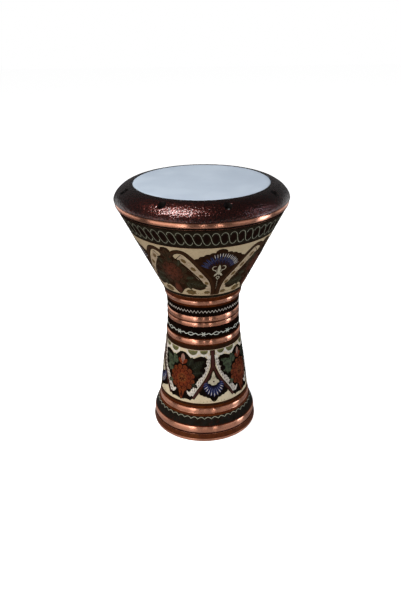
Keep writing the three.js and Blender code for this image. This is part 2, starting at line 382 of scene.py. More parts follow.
class Relief:
    """Raised enamel in one colour: shapes in (azimuth, height), repeated round the drum."""

    GRID = 3.0  # millimetres between points inside a shape
    SINK = 0.1  # how far a shape reaches into what is under it

    def __init__(self, lift):
        self.lift = lift
        self.verts = []
        self.faces = []

    def _solid(self, points, triangles, loops, copies, crown):
        """Adds the shape, closed: its raised face, a sunk back and walls along its loops."""
        for copy in range(copies):
            base, count, turn = len(self.verts), len(points), copy * 360.0 / REPEATS
            for (azimuth, z), rise in zip(points, crown):
                self.verts.append(wrap(azimuth + turn, z, self.lift + rise))
            for azimuth, z in points:
                self.verts.append(wrap(azimuth + turn, z, -self.SINK))
            for tri in triangles:
                self.faces.append(tuple(base + i for i in tri))
                self.faces.append(tuple(base + count + i for i in reversed(tri)))
            for loop in loops:
                for a, b in around(loop):
                    self.faces.append((base + a, base + b, base + count + b, base + count + a))

    def patch(self, outline, copies=REPEATS, dome=0.12):
        """A filled outline in (azimuth, height). dome raises its middle, like a blob of enamel."""
        middle = sum(z for _, z in outline) / len(outline)
        per_degree = radians(1.0) * shell_radius(middle)
        loop = resampled([(a * per_degree, z) for a, z in outline], self.GRID * 0.8)
        points = [Vector(p) for p in (*loop, *grid_inside(loop, self.GRID))]
        flat, _, found, *_ = delaunay_2d_cdt(points, [], [list(range(len(loop)))], 1, 1e-5)
        sides = [pair for face in found for pair in around(face)]
        shared = {(b, a) for a, b in sides}
        follow = {a: b for a, b in sides if (a, b) not in shared}
        crown = [0.0 if i in follow else dome for i in range(len(flat))]
        loops = []
        while follow:
            start = next(iter(follow))
            loops.append([start])
            after = follow.pop(start)
            while after != start and after in follow:
                loops[-1].append(after)
                after = follow.pop(after)
        self._solid([(v.x / per_degree, v.y) for v in flat], found, loops, copies, crown)

    def line(self, path, width, closed=False, copies=REPEATS, dome=0.06):
        """A painted line along a path. width is one number, or a function of the share along it."""
        count = len(path)
        left, right = [], []
        for i, (azimuth, z) in enumerate(path):
            before = path[(i - 1) % count] if closed or i else path[0]
            after = path[(i + 1) % count] if closed or i < count - 1 else path[-1]
            per_degree = radians(1.0) * shell_radius(z)
            dx, dz = (after[0] - before[0]) * per_degree, after[1] - before[1]
            if closed and abs(after[0] - before[0]) > 180:
                dx -= copysign(360.0 * per_degree, dx)
            size = hypot(dx, dz) or 1.0
            half = (width(i / max(count - 1, 1)) if callable(width) else width) / 2
            across = (-dz / size * half / per_degree, dx / size * half)
            left.append((azimuth + across[0], z + across[1]))
            right.append((azimuth - across[0], z - across[1]))
        crown = [0.0] * count + [dome] * count + [0.0] * count
        faces = []
        for i in range(count if closed else count - 1):
            j = (i + 1) % count
            faces.append((i, i + count, j + count, j))
            faces.append((i + count, i + 2 * count, j + 2 * count, j + count))
        there, back = list(range(count)), list(range(3 * count - 1, 2 * count - 1, -1))
        loops = [there, back] if closed else [[*there, 2 * count - 1, *back, count]]
        self._solid([*left, *path, *right], faces, loops, copies, crown)

    def stamp(self, azimuth, z, shape, angle=0.0, **settings):
        """A patch drawn in millimetres round (0, 0), then turned and moved to its place."""
        self.patch(at(azimuth, z, rotated(shape, angle)), **settings)

    def brush(self, azimuth, z, path, width, angle=0.0, **settings):
        """A line drawn in millimetres round (0, 0), then turned and moved to its place."""
        self.line(at(azimuth, z, rotated(path, angle)), width, **settings)

    def whole(self, centre, half):
        """A patch from the outline of its right half, in (offset, height) about an azimuth."""
        left = [(-a, z) for a, z in reversed(half)]
        self.patch([(centre + a, z) for a, z in (*half, *left)])

    def pair(self, centre, path, width, **settings):
        """A line and its mirror image, in (offset, height) about an azimuth."""
        for side in (1, -1):
            self.line([(centre + side * a, z) for a, z in path], width, **settings)

    def piece(self, name, paint):
        place_piece(name, self.verts, self.faces, [PAINT[paint]], None, "shell", 50.0)


def reliefs(*lifts):
    return [Relief(lift) for lift in lifts]


def around(loop):
    """A loop's sides, as pairs of neighbours."""
    return zip(loop, [*loop[1:], loop[0]])


def resampled(loop, step):
    """The closed loop with points no further apart than step."""
    made = []
    for a, b in around(loop):
        parts = max(1, ceil(dist(a, b) / step))
        made += [(a[0] + (b[0] - a[0]) * k / parts, a[1] + (b[1] - a[1]) * k / parts) for k in range(parts)]
    return made


def depth_inside(point, loop):
    """How far a point is from the loop's edge, or -1 if it is outside."""
    px, py = point
    inside, nearest = False, inf
    for (x0, y0), (x1, y1) in around(loop):
        dx, dy = x1 - x0, y1 - y0
        if (y0 > py) != (y1 > py) and px < x0 + (py - y0) * dx / dy:
            inside = not inside
        t = ((px - x0) * dx + (py - y0) * dy) / ((dx * dx + dy * dy) or 1e-9)
        t = min(1.0, max(0.0, t))
        nearest = min(nearest, hypot(px - x0 - dx * t, py - y0 - dy * t))
    return nearest if inside else -1.0


def grid_inside(loop, step):
    """Points of a staggered grid that lie well inside a loop."""
    xs, ys = [p[0] for p in loop], [p[1] for p in loop]
    made, row, y = [], 0, min(ys) + step * 0.5
    while y < max(ys):
        x = min(xs) + step * (0.5 if row % 2 else 1.0)
        while x < max(xs):
            if depth_inside((x, y), loop) > step * 0.35:
                made.append((x, y))
            x += step
        y += step * 0.87
        row += 1
    return made


# ---- shapes for the painting


def at(azimuth, z, shape):
    """Moves a shape drawn in millimetres round (0, 0) to a place on the shell."""
    per_degree = radians(1.0) * shell_radius(z)
    return [(azimuth + x / per_degree, z + y) for x, y in shape]


def rotated(shape, angle):
    c, s = cos(radians(angle)), sin(radians(angle))
    return [(x * c - y * s, x * s + y * c) for x, y in shape]


def shifted(shape, dx, dy):
    return [(x + dx, y + dy) for x, y in shape]


def disc(radius, squash=1.0, count=20):
    steps = [2 * pi * i / count for i in range(count)]
    return [(radius * cos(t), radius * squash * sin(t)) for t in steps]


def arc(radius, start, end, count=12):
    steps = [radians(start + (end - start) * i / count) for i in range(count + 1)]
    return [(radius * cos(t), radius * sin(t)) for t in steps]


def lobed(radius, lobes, depth, squash=1.0, count=8):
    """A round shape with that many bulging lobes."""
    made = []
    for i in range(lobes * count):
        t = 2 * pi * i / (lobes * count)
        r = radius * (1 - depth + depth * abs(sin(lobes * t / 2)) ** 0.6)
        made.append((r * cos(t), r * sin(t) * squash))
    return made


def from_side(side):
    """A closed outline from its right side, which starts and ends on the middle line."""
    return [*side, *[(-x, y) for x, y in reversed(side[1:-1])]]


def petal(length, width, base=0.0, blunt=1.5, count=10):
    """A petal along +Y. blunt is over 1 if it is widest beyond its middle, under 1 for a pointed one."""
    steps = [i / count for i in range(count + 1)]
    return from_side([(width / 2 * sin(pi * t**blunt) ** 0.7, base + length * t) for t in steps])


def leaf(length, width, lobes=4, bite=0.3, count=24):
    """A leaf along +Y with a lobed edge."""
    side = []
    for t in (i / count for i in range(count + 1)):
        half = width / 2 * sin(pi * t**0.75) ** 0.8
        side.append((half * (1 - bite + bite * abs(sin(pi * lobes * t)) ** 0.7), length * t))
    return from_side(side)


def tapered(full, start=0.25, end=0.25):
    """A line width that is thinner at its ends."""
    return lambda t: full * min(1.0, 0.3 + 0.7 * min(t / start if start else 1, (1 - t) / end if end else 1))


# ---- materials in use

COPPER = spun_copper("copper_polished", (0.70, 0.305, 0.19), (0.34, 0.12, 0.062))
COPPER_INSIDE = spun_copper(
    "copper_inside", (0.30, 0.15, 0.10), (0.10, 0.045, 0.03), roughness=(0.45, 0.65), patina=0.8, lacquer=0.0
)
# name, three shades, patch size in millimetres, gloss, depth of the brush marks
PAINT = {
    name: enamel(f"enamel_{name}", *settings)
    for name, *settings in (
        ("rim_olive", (0.012, 0.0075, 0.0045), (0.020, 0.014, 0.007), (0.008, 0.004, 0.003), 9.0, 0.01),
        ("rim_black", (0.009, 0.004, 0.003), (0.014, 0.006, 0.004), (0.005, 0.003, 0.002), 9.0, 0.0),
        ("neck_black", (0.004, 0.002, 0.0012), (0.007, 0.003, 0.002), (0.010, 0.004, 0.002), 7.0, 0.0),
        ("cove", (0.007, 0.005, 0.003), (0.010, 0.009, 0.007), (0.028, 0.008, 0.005), 11.0, 0.01),
        ("brown", (0.054, 0.010, 0.002), (0.085, 0.019, 0.003), (0.026, 0.006, 0.002), 10.0, 0.02),
        ("foot_brown", (0.058, 0.012, 0.003), (0.095, 0.024, 0.005), (0.024, 0.006, 0.003), 10.0, 0.06),
        ("pale_line", (0.27, 0.26, 0.19), (0.19, 0.19, 0.135), (0.35, 0.33, 0.25), 3.0),
        ("chain_line", (0.60, 0.60, 0.52), (0.46, 0.46, 0.38), (0.74, 0.73, 0.66), 3.0),
        ("white", (0.62, 0.56, 0.48), (0.46, 0.38, 0.31), (0.78, 0.74, 0.68), 3.0, 0.1, 0.08),
        ("ribbon", (0.48, 0.35, 0.23), (0.30, 0.20, 0.12), (0.60, 0.50, 0.36), 4.0),
        ("outline", (0.018, 0.007, 0.003), (0.030, 0.011, 0.004), (0.010, 0.005, 0.003), 4.0, 0.01),
        ("border", (0.040, 0.014, 0.004), (0.026, 0.009, 0.003), (0.060, 0.028, 0.009), 4.0, 0.03),
        ("trunk", (0.050, 0.014, 0.012), (0.030, 0.008, 0.007), (0.085, 0.028, 0.023), 4.0, 0.03),
        ("ink", (0.004, 0.003, 0.002), (0.007, 0.003, 0.002), (0.003, 0.003, 0.002), 4.0, 0.0),
        ("olive", (0.11, 0.105, 0.03), (0.17, 0.14, 0.05), (0.06, 0.065, 0.02), 3.0),
        ("ochre", (0.15, 0.085, 0.025), (0.095, 0.052, 0.016), (0.22, 0.135, 0.05), 3.0),
        ("green", (0.007, 0.007, 0.004), (0.014, 0.013, 0.006), (0.004, 0.004, 0.003), 4.0, 0.02),
        ("moss", (0.020, 0.014, 0.006), (0.034, 0.024, 0.010), (0.010, 0.008, 0.004), 4.0, 0.02),
        ("teal", (0.012, 0.017, 0.009), (0.070, 0.090, 0.048), (0.030, 0.027, 0.013), 5.0, 0.05),
        ("vein", (0.06, 0.06, 0.032), (0.04, 0.038, 0.02), None, 3.0),
        ("dark_vein", (0.022, 0.024, 0.013), (0.014, 0.014, 0.008), None, 3.0),
        ("rust", (0.075, 0.020, 0.009), (0.038, 0.014, 0.007), (0.13, 0.034, 0.014), 6.0, 0.04),
        ("dusk", (0.045, 0.020, 0.009), (0.024, 0.019, 0.008), (0.080, 0.026, 0.013), 8.0, 0.03),
        ("ember", (0.105, 0.024, 0.011), (0.055, 0.016, 0.008), (0.17, 0.048, 0.018), 6.0, 0.04),
        ("orange", (0.13, 0.024, 0.006), (0.055, 0.009, 0.004), (0.32, 0.085, 0.018), 3.5, 0.05),
        ("red", (0.095, 0.013, 0.005), (0.18, 0.034, 0.008), (0.045, 0.007, 0.003), 3.0, 0.05),
        ("amber", (0.15, 0.036, 0.009), (0.08, 0.016, 0.005), (0.28, 0.10, 0.028), 3.0, 0.05),
        ("maroon", (0.026, 0.006, 0.003), (0.016, 0.004, 0.003), (0.045, 0.009, 0.005), 3.0, 0.01),
        ("pink", (0.22, 0.11, 0.08), (0.30, 0.17, 0.13), (0.13, 0.06, 0.04), 3.0),
        ("blue", (0.004, 0.005, 0.024), (0.009, 0.010, 0.045), (0.018, 0.022, 0.075), 3.0, 0.04),
        ("sky", (0.08, 0.09, 0.17), (0.04, 0.045, 0.11), (0.2, 0.22, 0.34), 2.0, 0.05),
        ("ivory", (0.44, 0.38, 0.27), (0.32, 0.27, 0.18), (0.56, 0.50, 0.38), 3.0, 0.1, 0.07),
    )
}
PAINT["cream"] = speckled_ground("enamel_cream", (0.55, 0.41, 0.24), (0.46, 0.34, 0.20), (0.18, 0.125, 0.065))
PAINT["pale_cream"] = speckled_ground(
    "enamel_pale_cream", (0.62, 0.50, 0.33), (0.54, 0.43, 0.27), (0.2, 0.15, 0.085)
)
HAMMERED = hammered_plate("tuning_ring_plate")
LIP_BLACK = enamel("tuning_ring_lip", (0.006, 0.005, 0.005), (0.012, 0.009, 0.008), None, 4.0, 0.3)
# near-black enamel for the holes' walls: painted shade inside the holes
HOLE_SHADE = enamel("tuning_ring_holes_painted_shade", (0.004, 0.003, 0.003), (0.008, 0.006, 0.005), None, 3.0, 0.05)
FILM = film_plastic("drumhead_coated")
ALUMINIUM = machined_metal("aluminium_cast", (0.42, 0.42, 0.43), (0.16, 0.15, 0.14))
BLACK_STEEL = machined_metal("steel_black_oxide", (0.03, 0.028, 0.028), (0.012, 0.01, 0.01), (0.3, 0.5), 0.9)
ZINC_STEEL = machined_metal("steel_zinc", (0.48, 0.47, 0.44), (0.2, 0.18, 0.15))


# ---- the shell's copper and plain bands


def sheet(name, node, outside, inside):
    """One spun sheet of the shell, polished outside and dull inside. It stands for its CAD node."""

    def finish(i):
        return 0 if i < len(outside) - 1 else 1

    outline = [*outside, *inside]
    piece = turned(name, outline, [COPPER, COPPER_INSIDE], "shell", slot_of=finish)
    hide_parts(node)


def copper_shell():
    """The three spun sheets. The inside of each runs from the top down, a sheet's thickness in."""
    spigot = 76.2  # the body's foot, which sits inside the foot's collar
    foot_inside = [(spigot + 0.4, FOOT_TOP), (spigot + 0.4, 48.0), (79.6, 42.5), (83.3, 33.9)]
    foot_inside += [(85.5, 27.0), (86.3, 17.0), (87.6, 6.5), (85.6, 5.4)]
    sheet("foot_copper", "foot_skirt", [(85.6, FOOT_BOTTOM), *FOOT_OUTSIDE], foot_inside)

    body_outside = [(spigot, 49.0), (spigot, FOOT_TOP + 0.3), *BODY_OUTSIDE]
    turns = [(59.6, SEAM_RING_BELOW[1]), (63.5, 163.0), (67.8, 129.0), (spigot, 62.0), (spigot, 49.0)]
    sheet("body_copper", "shell_body", body_outside, [(r - SHEET, z) for r, z in turns])

    cone = [(shell_radius(z) - SHEET, z) for z in (392.0, 276.0, 264.6)]
    neck = [(62.2, 250.0), (60.1, 240.0), (59.6 - SHEET, SEAM_RING_ABOVE[0])]
    sheet("bowl_copper", "shell_bowl", BOWL_OUTSIDE, [(134.0, BOWL_TOP), (134.0, 399.0), *cone, *neck])


LOWER_GROUND = (67.7, 163.0)  # bottom and top of the body's painting
UPPER_GROUND = (264.7, 360.6)  # and of the bowl's


def plain_bands():
    """Lacquer between the bright rings, the two cream grounds, and a dark line under the foot's ring that is
    painted shade.
    """
    enamel_band("foot_band_brown", 5.6, 14.2, "foot_brown", step=1.5)
    # a dark maroon line right under the foot's ring: painted shade under the ring
    enamel_band("foot_line_painted_shade", 14.3, FOOT_RING[0] - 0.1, "maroon", step=1.0)
    enamel_band("foot_cove_enamel", FOOT_RING[1] + 0.3, COLLAR_RING[0] - 0.4, "cove")
    enamel_band("body_band_brown", FOOT_TOP + 0.7, LOWER_GROUND[0], "brown")
    enamel_band("body_ground_cream", *LOWER_GROUND, "pale_cream")
    enamel_band("body_line_black", LOWER_GROUND[1], LOWER_NECK_RING[0] - 0.2, "outline")
    enamel_band("neck_band_lower", LOWER_NECK_RING[1] + 0.3, SEAM_RING_BELOW[0] - 0.2, "neck_black")
    enamel_band("neck_band_upper", SEAM_RING_ABOVE[1] + 0.3, UPPER_NECK_RING[0] - 0.2, "neck_black")
    enamel_band("bowl_band_brown", UPPER_NECK_RING[1] + 0.2, 258.6, "brown")
    enamel_band("bowl_line_olive", 258.8, UPPER_GROUND[0] - 0.2, "rim_olive")
    enamel_band("bowl_ground_cream", *UPPER_GROUND, "cream")
    enamel_band("bowl_band_rim", UPPER_GROUND[1] + 0.1, 394.0, "rim_olive")
    enamel_band("bowl_line_under_rim", 394.2, 397.9, "rim_black")


# ---- repeating borders


def borders():
    """Twist under the rim, zigzag and chain on the neck, fine edging lines, thin brown lines along the bright
    rings' edges that are painted shade, and the foot's waved line.
    """
    twist, eyes, edging, zigzag, chain, waves = reliefs(0.3, 0.22, 0.24, 0.28, 0.28, 0.28)
    strands, twist_z = 60, 377.6
    spacing = 360.0 / strands
    lower_half = [(0.0, 0.0), (0.8, -5.4), (1.9, -9.2), (3.4, -10.7), (4.8, -9.3), (5.6, -5.6)]
    strand = curve([*[(-a, -z) for a, z in reversed(lower_half[1:])], *lower_half], 3)
    for copy in range(strands):
        twist.line([(copy * spacing + a, twist_z + z) for a, z in strand], 0.9, copies=1)
        eyes.patch(at((copy + 0.5) * spacing, twist_z, disc(4.3, 1.8, 14)), copies=1, dome=0.0)
    for z in (361.6, 393.0):
        edging.line([(float(a), z) for a in range(360)], 1.4, closed=True, copies=1)

    teeth = 66
    tooth_tips = [(180.0 * i / teeth, 229.6 + 4.1 * (i % 2)) for i in range(2 * teeth)]
    zigzag.line(tooth_tips, 1.25, closed=True, copies=1, dome=0.04)

    # each link of the chain: an open eye with a wave on both sides, then a small cross
    links, chain_z = 9, 191.8
    eye = curve([(-5.0, 0.0), (-2.4, 2.0), (0.0, 2.6), (2.4, 2.0), (5.0, 0.0)], 4)
    wave = curve([(5.0, 0.0), (8.4, 1.3), (11.8, -1.1), (15.5, 0.4)], 4)
    crosses = [curve([(15.5, 0.0), (20.0, 0.3 * tip), (22.8, tip)], 3) for tip in (-3.6, 3.6)]
    for link in range(links):
        start = (link + 0.5) * 360.0 / links
        for flip in (-1, 1):
            chain.line([(start + a, chain_z + flip * z) for a, z in eye], 1.0, copies=1)
            chain.line([(start + flip * a, chain_z + flip * z) for a, z in wave], 1.2, copies=1)
            for cross in crosses:
                path = [(start + 20 + flip * (a - 20), chain_z + z) for a, z in cross]
                chain.line(path, tapered(1.0), copies=1)

    arcs = 44
    waved = [(60.0 * i / arcs, 40.6 + 3.0 * abs(sin(pi * i / 6))) for i in range(arcs * 6)]
    waves.line(waved, 0.9, closed=True, copies=1)

    for relief, name, paint in (
        (twist, "rim_twist", "pale_line"),
        (eyes, "rim_twist_eyes", "rim_black"),
        (edging, "rim_edging", "rim_black"),
        (zigzag, "neck_zigzag", "white"),
        (chain, "neck_chain", "chain_line"),
    ):
        relief.piece(name, paint)
    # the brown lines right against the bright rings are painted shade along the rings' edges; the dark line
    # above the collar borders the cream ground
    for name, bottom, top in (
        ("above_upper_neck", 239.9, UPPER_NECK_RING[0] - 0.2),
        ("seam_upper", SEAM_Z + 0.2, SEAM_Z + 1.3),
        ("seam_lower", SEAM_Z - 1.3, SEAM_Z - 0.2),
        ("above_lower_neck", LOWER_NECK_RING[1] + 0.3, LOWER_NECK_RING[1] + 2.4),
        ("below_lower_neck", LOWER_NECK_RING[0] - 2.4, LOWER_NECK_RING[0] - 0.3),
        ("above_foot", FOOT_RING[1] + 0.3, FOOT_RING[1] + 2.2),
        ("under_collar", COLLAR_RING[0] - 4.2, COLLAR_RING[0] - 0.5),
        ("above_collar", FOOT_TOP + 5.8, FOOT_TOP + 9.4),
    ):
        paint = "outline" if name == "above_collar" else "brown"
        enamel_band(f"line_{name}", bottom, top, paint, 0.27, step=0.7)
    waves.piece("foot_waved_line", "pale_line")


# ---- painted motifs


def scallops(points, bulge, count=5):
    """Joins points with arcs that bulge to the left of the way they run."""
    made = []
    for (a0, z0), (a1, z1) in zip(points, points[1:]):
        da, dz = a1 - a0, z1 - z0
        size = hypot(da, dz) or 1.0
        for k in range(count):
            t = k / count
            out = bulge * sin(pi * t)
            made.append((a0 + da * t - dz / size * out, z0 + dz * t + da / size * out))
    return [*made, points[-1]]


def peony(layers, azimuth, z, radius, lobes, squash=1.0):
    """A full flower: three scalloped rings of petals, each over the shadow of the next one."""
    outline, outer, shade, middle, deep, inner, gaps = layers
    for relief, share, count, depth, dome in (
        (outline, 1.08, lobes, 0.14, 0.05),
        (outer, 1.0, lobes, 0.17, 0.12),
        (shade, 0.73, lobes - 2, 0.2, 0.03),
        (middle, 0.68, lobes - 2, 0.2, 0.12),
        (deep, 0.43, lobes - 4, 0.24, 0.03),
        (inner, 0.38, lobes - 4, 0.24, 0.12),
    ):
        relief.stamp(azimuth, z, lobed(radius * share, count, depth, squash=squash), dome=dome)
    for count, low, high in ((lobes, 0.72, 0.9), (lobes - 2, 0.42, 0.6), (lobes - 4, 0.14, 0.3)):
        for k in range(count):
            turn = 360.0 * k / count - 90.0
            fold = [(radius * 0.012 * (-1) ** i, radius * (low + (high - low) * i / 3)) for i in range(4)]
            rib = [(0, radius * (low + 0.02)), (0.2, radius * (high + 0.01))]
            marks = [(fold, turn, 1.2)]
            marks += [(rib, turn + 360.0 * (0.5 + lean) / count, 0.4) for lean in (-0.26, 0.0, 0.26)]
            for path, angle, width in marks:
                flat = [(x, y * squash) for x, y in rotated(path, angle)]
                gaps.brush(azimuth, z, flat, tapered(width))


def strokes(relief, azimuth, z, radii, angles, width):
    """Fine radial brush strokes round a point."""
    inner, outer = radii
    path = [(0.0, inner + (outer - inner) * t / 6) for t in range(7)]
    for angle in angles:
        relief.brush(azimuth, z, path, tapered(width), angle)


def leafy(relief, veins, azimuth, z, length, width, angle, lobes=4):
    """A lobed leaf with its midrib and side veins."""
    relief.stamp(azimuth, z, leaf(length, width, lobes), angle)
    midrib = [(0.0, length * t) for t in (0.05, 0.25, 0.45, 0.65, 0.85)]
    veins.brush(azimuth, z, midrib, tapered(0.8, 0, 0.8), angle)
    for t in (0.2, 0.35, 0.5, 0.65):
        for side in (-1, 1):
            reach = side * width * 0.3 * sin(pi * min(1.0, t + 0.1))
            rib = [(0.0, length * t), (reach * 0.55, length * (t + 0.09)), (reach, length * (t + 0.13))]
            veins.brush(azimuth, z, rib, tapered(0.55, 0, 0.8), angle)


def along(path, share):
    """The point at a share of a path's points."""
    place = share * (len(path) - 1)
    i = min(int(place), len(path) - 2)
    t = place - i
    return tuple(path[i][k] * (1 - t) + path[i + 1][k] * t for k in range(2))


def upper_painting():
    """The bowl: arches with a dusky peony in each, and a blue fan between them."""
    gap = UPPER_JUNCTION
    arch = gap - HALF
    dark, edge, border, ribbon = reliefs(0.26, 0.34, 0.46, 0.32)
    ochre, green, vein = reliefs(0.44, 0.46, 0.66)
    dusk, shade, rust, deep, ember, petal_gaps = reliefs(0.46, 0.58, 0.66, 0.76, 0.84, 0.96)
    blue, sky, ivory, white = reliefs(0.38, 0.5, 0.46, 0.6)

    # the border of an arch, from its foot up to the twin peaks
    arch_side = [(42.4, 265.5), (42, 278), (40.6, 288), (38, 298), (34.2, 307), (29.4, 318), (24.6, 330)]
    arch_top = [(20, 341.5), (16, 349.5), (12.2, 352.4), (8.6, 351.6), (5.6, 348.4), (4.2, 344.5)]
    arch_line = curve([*arch_side, *arch_top], 5)
    edge.pair(arch, arch_line, 7.4, dome=0.0)
    border.pair(arch, arch_line, 4.6, dome=0.04)

    ribbon_side = [(37.2, 266.3), (36.6, 278), (34.4, 290), (30, 302), (24.4, 314), (18.4, 327)]
    ribbon_line = curve([*ribbon_side, (13, 338), (10.8, 342.4)], 5)
    inner_line = [(a - 1.1, z - 0.4) for a, z in ribbon_line[12:]]
    dark.pair(arch, inner_line, lambda t: 9.5 + 5.5 * t, dome=0.0)
    ribbon.pair(arch, ribbon_line, lambda t: 6.4 + 5.6 * t, dome=0.08)

    # everything dark behind the flower and its leaves
    mass = [(0, 358.6), (3.0, 357.2), (4.4, 353), (4.4, 348.5), (5.6, 343), (8, 337), (11, 331), (14.5, 322)]
    mass += [(18.6, 314), (22.4, 306), (25.6, 299), (29.4, 293), (33.2, 288), (34.4, 283), (32.5, 278.4)]
    mass += [(27, 276), (22, 277.6), (17, 281), (12, 279.6), (8, 276.5), (5.2, 271.5), (2.8, 267), (0, 265.4)]
    dark.whole(arch, mass)

    # the flower, its bud and its hanging petal
    peony((dark, dusk, shade, rust, deep, ember, petal_gaps), arch, 311.0, 25.5, 10, 1.1)
    rust.stamp(arch, 293.0, petal(26.0, 14.0), 180)
    for angle in (-15, 0, 15):
        ember.stamp(arch, 289.0, petal(17.0, 4.6), 180 + angle)
    petal_gaps.stamp(arch, 312.0, lobed(2.6, 5, 0.3))
    for angle, length in ((-26, 17.0), (0, 21.0), (26, 17.0)):
        dusk.stamp(arch, 334.5, petal(length, 8.0), angle)
        petal_gaps.brush(arch, 334.5, [(0, 4), (0.5, 9), (0, length * 0.8)], tapered(0.9), angle)

    # leaves, and ochre lobes on the ribbon and along the lower edge
    for side in (-1, 1):
        for offset, z, length, width, angle, lobes in (
            (13.0, 292.0, 33.0, 17.5, 103, 5),
            (12.5, 301.0, 15.0, 11.0, 84, 4),
            (8.0, 324.0, 14.0, 10.0, 18, 4),
            (12.5, 292.0, 16.0, 11.0, 158, 4),
        ):
            leafy(green, vein, arch + side * offset, z, length, width, -side * angle, lobes)
        for share, size in ((0.3, 5.0), (0.47, 5.6), (0.64, 6.4), (0.82, 6.4)):
            a, z = along(ribbon_line, share)
            ochre.stamp(arch + side * a, z, lobed(size * 0.8, 6, 0.16, squash=0.62), 90 + side * 38)
        for offset, width in ((15.5, 8.4), (35.0, 5.0)):
            ochre.stamp(arch + side * offset, 271.4, lobed(width, 7, 0.22, squash=0.66))
            vein.brush(arch + side * offset, 270.6, arc(width * 0.55, 15, 165), tapered(0.9))
        for step in range(5):
            place = arch + side * (22.0 + 2.6 * step)
            ochre.stamp(place, 268.2 + 1.2 * (step % 2), disc(0.7, count=8), dome=0.05)

    # the fan between two arches
    fan_edge = scallops([(22.4, 336.0), (18.2, 341.4), (13.8, 345.8), (9.2, 349.2), (4.8, 351.4)], -1.5)
    spandrel = [(0, 266.4), (3.0, 266.4), (3.5, 278), (5, 290), (9, 303), (14, 314), (19.5, 328)]
    dark.whole(gap, [*spandrel, *fan_edge, (4.4, 354.6), (2.6, 357.2), (0, 358.4)])
    heart, spread = 312.0, 11.4
    for k in range(-5, 6):
        angle = k * spread
        reach = 39.0 - 0.1 * abs(angle)
        blue.stamp(gap, heart, petal(reach - 17.0, 3.5, 16.0), angle)
        strokes(sky, gap, heart, (reach - 14.0, reach - 3.0), (angle - 2.2, angle + 2.2), 0.6)
        if k <= 1:
            strokes(white, gap, heart, (reach - 8.0, reach - 1.0), (angle - 3.0, angle + 3.0), 0.9)
    strokes(sky, gap, heart, (21.0, 28.0), [(k + 0.5) * spread for k in range(-5, 5)], 0.5)

    # the small palmette in the fan, with a ring and dots under it
    ivory.stamp(gap, 306.5, petal(21.0, 4.6, blunt=1.15))
    for side in (-1, 1):
        ivory.stamp(gap, 313.0, petal(10.5, 3.4), side * 140)
        hook = [(side * x, y) for x, y in arc(3.9, 55, 320, 16)]
        ivory.brush(gap - side * 3.8, 321.0, hook, tapered(1.5))
        arm = curve([(side * 1.5, 0), (side * 4.0, 3.4), (side * 5.4, 6.4)], 4)
        ivory.brush(gap, 311.0, arm, tapered(1.1))
    ivory.brush(gap, 302.0, disc(2.3), 1.2, closed=True)
    ivory.brush(gap, 296.0, [(0, 0), (0, 3)], 1.0)
    for step in range(4):
        ivory.stamp(gap, 292.5 - 4.2 * step, disc(0.9 - 0.12 * step, count=10), dome=0.08)

    for relief, name, paint in (
        (dark, "ground", "outline"),
        (edge, "border_outline", "outline"),
        (border, "border", "border"),
        (ribbon, "ribbon", "ribbon"),
        (shade, "petal_shade", "outline"),
        (deep, "petal_shade_inner", "outline"),
        (ochre, "ochre_lobes", "ochre"),
        (green, "green_leaves", "moss"),
        (vein, "veins", "vein"),
        (rust, "middle_petals", "rust"),
        (dusk, "outer_petals", "dusk"),
        (ember, "inner_petals", "ember"),
        (petal_gaps, "petal_gaps", "outline"),
        (blue, "fan_blue", "blue"),
        (sky, "fan_sky", "sky"),
        (ivory, "fan_ivory", "ivory"),
        (white, "fan_white", "white"),
    ):
        relief.piece(f"bowl_{name}", paint)


